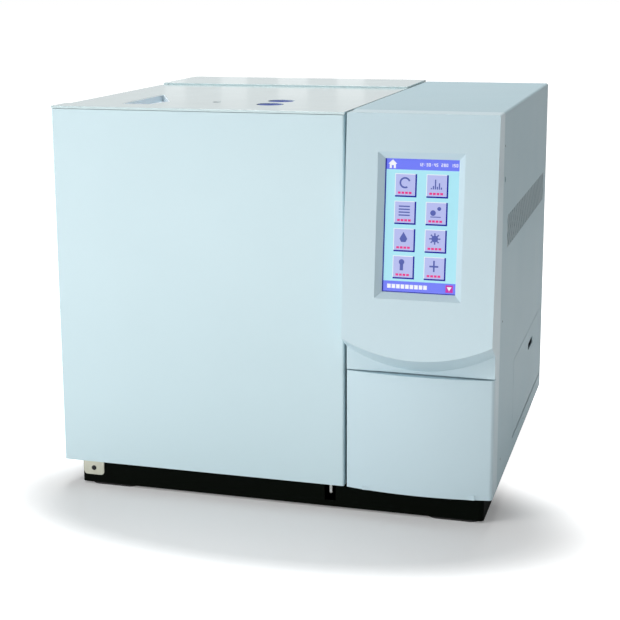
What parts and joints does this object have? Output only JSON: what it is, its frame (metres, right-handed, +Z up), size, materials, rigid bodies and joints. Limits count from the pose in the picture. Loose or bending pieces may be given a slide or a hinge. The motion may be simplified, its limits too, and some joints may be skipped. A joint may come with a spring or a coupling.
{
  "type": "gas chromatograph",
  "caption": "Bench gas chromatograph with a column oven behind a side-hinged door, hinged top lid, sloping control panel with upright display and drop-down gas control door.",
  "frame": {"origin": "on the table under the middle of the bounding box", "axes": "+X to the right of the oven door, +Y to the back, +Z up"},
  "size_m": [0.55, 0.5318, 0.4893],
  "materials": {
    "case_paint": "satin powder coat",
    "case_plastic": "fine grained moulding",
    "base_black": "matt black",
    "foot_rubber": "matt",
    "zinc_steel": "zinc plated",
    "steel": "bright",
    "stainless": "brushed stainless",
    "wool": "ceramic fibre",
    "motor": "matt",
    "aluminium": "machined",
    "brass": "turned",
    "column_amber": "polyimide coated",
    "septum_blue": "dark blue",
    "cup_grey": "moulded grey",
    "gauge_black": "black",
    "knob_grey": "moulded",
    "board_green": "solder mask",
    "display": "cover glass"
  },
  "bodies": {
    "cabinet": {"base_tray": "base_black", "feet": "foot_rubber", "left_cover": "case_paint", "right_cover": "case_paint", "cover_screws": "steel", "partition": "zinc_steel", "front_frame": "zinc_steel", "rear_panel": "case_paint", "rear_strip": "case_plastic", "floor_plates": "zinc_steel", "hinge_pins": "steel", "lower_hinge": "zinc_steel", "upper_hinge": "zinc_steel", "oven_shell": "zinc_steel", "oven_insulation": "wool", "oven_liner": "stainless", "fan_motor": "motor", "heater_coil": "steel", "oven_baffle": "stainless", "temperature_probe": "steel", "column_basket": "steel", "capillary_column": "column_amber", "column_nuts": "brass", "injectors": "steel", "injector_block": "aluminium", "septum_nuts": "septum_blue", "detector": "steel", "air_ducts": "zinc_steel", "flap_stepper": "motor", "control_bezel": "case_plastic", "display_glass": "display", "display_module": "gauge_black", "control_chassis": "zinc_steel", "flow_bay_frame": "case_plastic", "pressure_gauges": "gauge_black", "regulators": "aluminium", "gas_inlets": "steel", "gas_lines": "steel", "main_board": "board_green", "power_supply": "zinc_steel", "power_inlet": "gauge_black", "case_fan": "zinc_steel", "cover_hinges": "zinc_steel"},
    "oven_door": {"door_skin": "case_paint", "door_insulation": "wool", "door_liner": "stainless", "door_gasket": "wool", "release_spring": "steel"},
    "release_pin": {"release_pin": "steel"},
    "lid": {"lid": "case_plastic", "lid_finger_cup": "cup_grey"},
    "flow_door": {"flow_door": "case_plastic"},
    "service_cover": {"service_cover": "case_plastic"},
    "knob_1": {"knob_1": "knob_grey"},
    "knob_2": {"knob_2": "knob_grey"},
    "knob_3": {"knob_3": "knob_grey"},
    "oven_fan": {"oven_fan": "stainless"},
    "case_fan_rotor": {"case_fan_rotor": "gauge_black"},
    "vent_flaps": {"vent_flaps": "zinc_steel"},
    "power_rocker": {"power_rocker": "gauge_black"}
  },
  "joints": [
    {"name": "oven_door_hinge", "type": "hinge", "parent": "cabinet", "child": "oven_door", "pos_m": [-0.263, -0.20614, 0.2335], "axis": [0, 0, -1], "range_deg": [0, 110]},
    {"name": "release_press", "type": "slide", "parent": "oven_door", "child": "release_pin", "axis": [0, 0, 1], "range_m": [0, 0.005], "stiffness_N_per_m": 400, "springref_m": -0.005, "deforming": ["release_spring"]},
    {"name": "lid_hinge", "type": "hinge", "parent": "cabinet", "child": "lid", "pos_m": [-0.0864, 0.11186, 0.483], "axis": [-1, 0, 0], "range_deg": [0, 75]},
    {"name": "flow_door_hinge", "type": "hinge", "parent": "cabinet", "child": "flow_door", "pos_m": [0.18675, -0.23314, 0.0365], "axis": [1, 0, 0], "range_deg": [0, 90]},
    {"name": "service_cover_hinge", "type": "hinge", "parent": "cabinet", "child": "service_cover", "pos_m": [0.271, 0.08586, 0.0595], "axis": [0, 1, 0], "range_deg": [0, 90]},
    {"name": "knob_1_turn", "type": "hinge", "parent": "cabinet", "child": "knob_1", "pos_m": [0.13475, -0.20514, 0.0755], "axis": [0, -1, 0], "range_deg": [0, 300]},
    {"name": "knob_2_turn", "type": "hinge", "parent": "cabinet", "child": "knob_2", "pos_m": [0.18675, -0.20514, 0.0755], "axis": [0, -1, 0], "range_deg": [0, 300]},
    {"name": "knob_3_turn", "type": "hinge", "parent": "cabinet", "child": "knob_3", "pos_m": [0.23875, -0.20514, 0.0755], "axis": [0, -1, 0], "range_deg": [0, 300]},
    {"name": "oven_fan_spin", "type": "hinge", "parent": "cabinet", "child": "oven_fan", "pos_m": [-0.09, -0.01064, 0.2037], "axis": [0, 1, 0], "continuous": true},
    {"name": "case_fan_spin", "type": "hinge", "parent": "cabinet", "child": "case_fan_rotor", "pos_m": [0.215, 0.23836, 0.3535], "axis": [0, 1, 0], "continuous": true},
    {"name": "vent_flap_turn", "type": "hinge", "parent": "cabinet", "child": "vent_flaps", "pos_m": [-0.09, 0.21986, 0.2937], "axis": [1, 0, 0], "range_deg": [0, 85]},
    {"name": "power_rocker_tilt", "type": "hinge", "parent": "cabinet", "child": "power_rocker", "pos_m": [0.23, 0.24786, 0.0955], "axis": [1, 0, 0], "range_deg": [0, 20]}
  ]
}
